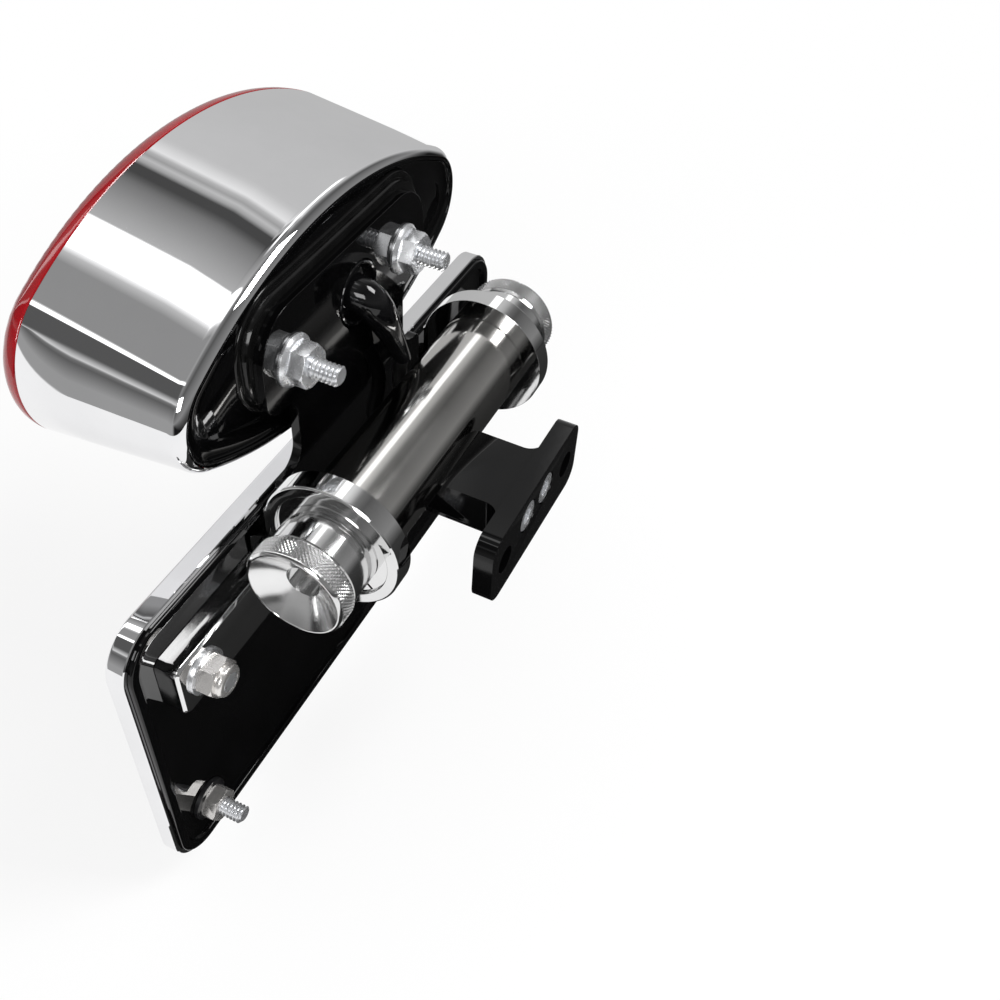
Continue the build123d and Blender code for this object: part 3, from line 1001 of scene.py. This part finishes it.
boot_sides = 32
boot_sections = [  # centre, the way it faces, and radius
    ((-4.0, -27.3, 42.0), (0.0, 1.0, 0.0), 9.7),
    ((-4.0, -21.2, 42.0), (0.0, 1.0, 0.0), 9.7),
    ((-4.0, -20.75, 42.0), (0.0, 1.0, 0.0), 9.5),
    ((-4.0, -20.6, 42.0), (0.0, 1.0, 0.0), 9.1),
    ((-4.0, -20.8, 42.0), (0.0, 1.0, 0.0), 8.7),
    ((-4.0, -21.8, 42.0), (0.0, 1.0, 0.0), 8.3),
    ((-4.0, -22.6, 42.0), (0.0, 1.0, 0.0), 7.2),
    ((-4.0, -22.4, 41.9), (0.0, 1.0, 0.0), 5.7),
    ((-4.0, -20.8, 41.8), (0.0, 1.0, -0.1), 5.2),
    ((-4.3, -18.9, 41.2), (-0.1, 0.9, -0.4), 5.3),
    ((-5.0, -17.2, 39.2), (-0.2, 0.6, -0.75), 5.3),
    ((-6.6, -16.2, 35.8), (-0.35, 0.25, -0.9), 5.0),
    ((-8.8, -15.8, 31.2), (-0.4, 0.05, -0.9), 4.5),
    ((-11.4, -15.5, 25.8), (-0.4, 0.0, -0.9), 3.9),
    ((-14.2, -15.1, 19.6), (-0.38, -0.1, -0.9), 3.3),
    ((-17.0, -14.6, 13.0), (-0.26, -0.29, -0.95), 2.8),
]
boot_rubber = make_finish(
    "boot_rubber",
    dark=(0.002, 0.002, 0.0022),
    light=(0.004, 0.004, 0.0045),
    gloss=(0.04, 0.09),
    patches=90,
    relief=500,
    depth=0.000006,
    Specular_IOR_Level=0.45,
)
bm = bmesh.new()
previous = None
for place, direction, radius in boot_sections:
    turn = Vector(direction).to_track_quat("Z", "Y").to_matrix().to_4x4()
    ring = bmesh.ops.create_circle(
        bm, segments=boot_sides, radius=radius, matrix=Matrix.Translation(place) @ turn
    )["verts"]
    edges = [edge for edge in bm.edges if edge.verts[0] in ring and edge.verts[1] in ring]
    if previous:
        bmesh.ops.bridge_loops(bm, edges=previous + edges)
    previous = edges
close_faces(bm)
boot = show(settle(bm), "lead_boot_moulded", "carrier", "black_rubber", boot_rubber, "lead_boot")
plug = refine(
    "lead_plug", "lead_plug_moulded", "carrier", "black_plastic", boot_rubber, edge=0.0003
)


# Table and light. A round pale table top, a white surround, and a soft grey room
# with bright windows that only the polished metal mirrors. Metres again.

table_z = -0.112
table_r = 0.62
table_plain = 0.2
table_white = 0.55
table_glow = 0.8


def seen_by(tree, *rays):
    # 1 for these kinds of ray, and 0 for the rest
    path = tree.nodes.new("ShaderNodeLightPath")
    total = path.outputs[rays[0]]
    for ray in rays[1:]:
        either = tree.nodes.new("ShaderNodeMath")
        either.operation = "ADD"
        either.use_clamp = True
        tree.links.new(total, either.inputs[0])
        tree.links.new(path.outputs[ray], either.inputs[1])
        total = either.outputs[0]
    return total


bm = bmesh.new()
bmesh.ops.create_circle(
    bm, cap_ends=True, segments=96, radius=table_r, matrix=Matrix.Translation((0, 0, table_z))
)
table_mesh = bpy.data.meshes.new("table_top")
bm.to_mesh(table_mesh)
bm.free()
table = bpy.data.objects.new("table_top", table_mesh)
scene.collection.objects.link(table)
table_paint = bpy.data.materials.new("pale_table")
table_paint.use_nodes = True
tree = table_paint.node_tree
matt = tree.nodes["Principled BSDF"]
matt.inputs["Base Color"].default_value = (0.9, 0.9, 0.9, 1)
matt.inputs["Roughness"].default_value = 0.9
matt.inputs["Specular IOR Level"].default_value = 0.1
glow = tree.nodes.new("ShaderNodeEmission")
glow.inputs["Color"].default_value = (1, 1, 1, 1)
# The top turns pure white towards its edge, so no edge shows
spot = tree.nodes.new("ShaderNodeTexCoord")
reach = tree.nodes.new("ShaderNodeVectorMath")
reach.operation = "LENGTH"
fade = tree.nodes.new("ShaderNodeMapRange")
fade.interpolation_type = "SMOOTHSTEP"
fade.inputs["From Min"].default_value = table_plain
fade.inputs["From Max"].default_value = table_white
fade.inputs["To Min"].default_value = table_glow
share = tree.nodes.new("ShaderNodeMath")
share.operation = "MULTIPLY"
blend = tree.nodes.new("ShaderNodeMixShader")
glowing = seen_by(tree, "Is Camera Ray", "Is Glossy Ray", "Is Transmission Ray")
tree.links.new(spot.outputs["Object"], reach.inputs[0])
tree.links.new(reach.outputs["Value"], fade.inputs["Value"])
tree.links.new(glowing, share.inputs[0])
tree.links.new(fade.outputs["Result"], share.inputs[1])
tree.links.new(share.outputs[0], blend.inputs["Fac"])
tree.links.new(matt.outputs["BSDF"], blend.inputs[1])
tree.links.new(glow.outputs["Emission"], blend.inputs[2])
tree.links.new(blend.outputs[0], tree.nodes["Material Output"].inputs["Surface"])
table_mesh.materials.append(table_paint)

# Brightness of the room behind the holder, by degrees from overhead to the right:
# white floor, walls of plain greys, and two windows
room_rear = [
    (-120, 1.0),
    (-117, 0.5),
    (-40, 0.6),
    (-35, 0.9),
    (-33, 0.3),
    (-30, 0.7),
    (-29, 0.07),
    (-25, 0.07),
    (-22, 0.2),
    (-8, 0.5),
    (-7, 3.0),
    (2, 3.0),
    (3, 0.7),
    (7, 0.3),
    (22, 0.3),
    (24, 2.5),
    (27, 2.5),
    (28, 0.1),
    (50, 0.1),
    (59, 0.7),
    (61, 0.2),
    (66, 0.12),
    (90, 0.35),
    (112, 0.35),
    (115, 1.0),
]
# And in front of it, by degrees from overhead to the front, with one wide window
room_front = [
    (-60, 0.4),
    (-37, 0.4),
    (-30, 0.8),
    (-22, 2.2),
    (-4, 2.0),
    (2, 0.5),
    (13, 0.22),
    (30, 0.1),
    (46, 0.16),
    (80, 0.26),
    (95, 0.1),
    (108, 0.01),
    (160, 0.01),
]
front_start = -0.05  # where the front half's walls take over, as a part of a sight line
front_full = 0.25
soft_grey = 0.55
world = bpy.data.worlds.new("studio")
scene.world = world
world.use_nodes = True
tree = world.node_tree
tree.nodes.clear()
place = tree.nodes.new("ShaderNodeTexCoord")
parts = tree.nodes.new("ShaderNodeSeparateXYZ")
tree.links.new(place.outputs["Generated"], parts.inputs[0])
shades = []
for aside, walls in (("X", room_rear), ("Y", room_front)):
    turn = tree.nodes.new("ShaderNodeMath")
    turn.operation = "ARCTAN2"
    tree.links.new(parts.outputs[aside], turn.inputs[0])
    tree.links.new(parts.outputs["Z"], turn.inputs[1])
    around = tree.nodes.new("ShaderNodeMapRange")
    around.inputs["From Min"].default_value = -math.pi
    around.inputs["From Max"].default_value = math.pi
    tree.links.new(turn.outputs[0], around.inputs["Value"])
    ramp = tree.nodes.new("ShaderNodeValToRGB")
    stops = ramp.color_ramp.elements
    while len(stops) < len(walls):
        stops.new(0.5)
    for stop, (degrees, level) in zip(stops, walls):
        stop.position = (degrees + 180) / 360
        stop.color = (level, level, level, 1)
    tree.links.new(around.outputs["Result"], ramp.inputs["Fac"])
    shades.append(ramp)
side_mask = tree.nodes.new("ShaderNodeMapRange")
side_mask.interpolation_type = "SMOOTHSTEP"
side_mask.inputs["From Min"].default_value = front_start
side_mask.inputs["From Max"].default_value = front_full
tree.links.new(parts.outputs["Y"], side_mask.inputs["Value"])
room = tree.nodes.new("ShaderNodeMix")
room.data_type = "RGBA"
tree.links.new(side_mask.outputs["Result"], room.inputs["Factor"])
tree.links.new(shades[0].outputs["Color"], room.inputs["A"])
tree.links.new(shades[1].outputs["Color"], room.inputs["B"])
# A window high on the left, which draws the bright line along the pivot bar. Its
# edges are parts of a sight line of length 1, from dark to light.
window_light = 1.8
window_edges = (
    ("Y", -0.04, -0.08),
    ("Y", -0.24, -0.20),
    ("Z", 0.55, 0.62),
    ("X", -0.30, -0.45),
)
window = None
for aside, dark_edge, light_edge in window_edges:
    pane = tree.nodes.new("ShaderNodeMapRange")
    pane.interpolation_type = "SMOOTHSTEP"
    pane.inputs["From Min"].default_value = dark_edge
    pane.inputs["From Max"].default_value = light_edge
    tree.links.new(parts.outputs[aside], pane.inputs["Value"])
    lit = pane.outputs["Result"]
    if window:
        product = tree.nodes.new("ShaderNodeMath")
        product.operation = "MULTIPLY"
        tree.links.new(window, product.inputs[0])
        tree.links.new(lit, product.inputs[1])
        lit = product.outputs[0]
    window = lit
glazed = tree.nodes.new("ShaderNodeMix")
glazed.data_type = "RGBA"
glazed.inputs["B"].default_value = (window_light, window_light, window_light, 1)
tree.links.new(window, glazed.inputs["Factor"])
tree.links.new(room.outputs["Result"], glazed.inputs["A"])
soft = tree.nodes.new("ShaderNodeBackground")
soft.inputs["Color"].default_value = (soft_grey, soft_grey, soft_grey, 1)
mirrored = tree.nodes.new("ShaderNodeBackground")
tree.links.new(glazed.outputs["Result"], mirrored.inputs["Color"])
white = tree.nodes.new("ShaderNodeBackground")
white.inputs["Color"].default_value = (1, 1, 1, 1)
first = tree.nodes.new("ShaderNodeMixShader")
tree.links.new(seen_by(tree, "Is Glossy Ray"), first.inputs["Fac"])
tree.links.new(soft.outputs[0], first.inputs[1])
tree.links.new(mirrored.outputs[0], first.inputs[2])
second = tree.nodes.new("ShaderNodeMixShader")
clear = seen_by(tree, "Is Camera Ray", "Is Transmission Ray")
tree.links.new(clear, second.inputs["Fac"])
tree.links.new(first.outputs[0], second.inputs[1])
tree.links.new(white.outputs[0], second.inputs[2])
world_out = tree.nodes.new("ShaderNodeOutputWorld")
tree.links.new(second.outputs[0], world_out.inputs["Surface"])

# Two soft boxes, as wide as each other, turned to the holder
soft_box_width = 0.4
for name, place, watts in (
    ("key_light", (-0.3, 0.5, 0.85), 7.0),
    ("side_light", (0.9, 0.3, 0.6), 4.0),
):
    light_data = bpy.data.lights.new(name, "AREA")
    light_data.shape = "SQUARE"
    light_data.size = soft_box_width
    light_data.energy = watts
    light = bpy.data.objects.new(name, light_data)
    scene.collection.objects.link(light)
    light.location = place
    light.rotation_mode = "QUATERNION"
    light.rotation_quaternion = Vector(place).to_track_quat("Z", "Y")

# A black cloth card in front of the holder, which only its polished surfaces mirror
card_half = 0.36
card_place = (-0.24, 0.294, table_z + 0.006)
bm = bmesh.new()
bmesh.ops.create_grid(bm, x_segments=1, y_segments=1, size=card_half)
bmesh.ops.transform(bm, matrix=Matrix.Translation(card_place), verts=bm.verts)
card_mesh = bpy.data.meshes.new("dark_card")
bm.to_mesh(card_mesh)
bm.free()
card = bpy.data.objects.new("dark_card", card_mesh)
scene.collection.objects.link(card)
card.visible_camera = False
card.visible_diffuse = False
card.visible_shadow = False
card.visible_transmission = False
cloth = bpy.data.materials.new("dark_cloth")
cloth.use_nodes = True
shader = cloth.node_tree.nodes["Principled BSDF"]
shader.inputs["Base Color"].default_value = (0.01, 0.01, 0.01, 1)
shader.inputs["Roughness"].default_value = 1
card_mesh.materials.append(cloth)

scene.view_settings.view_transform = "Standard"
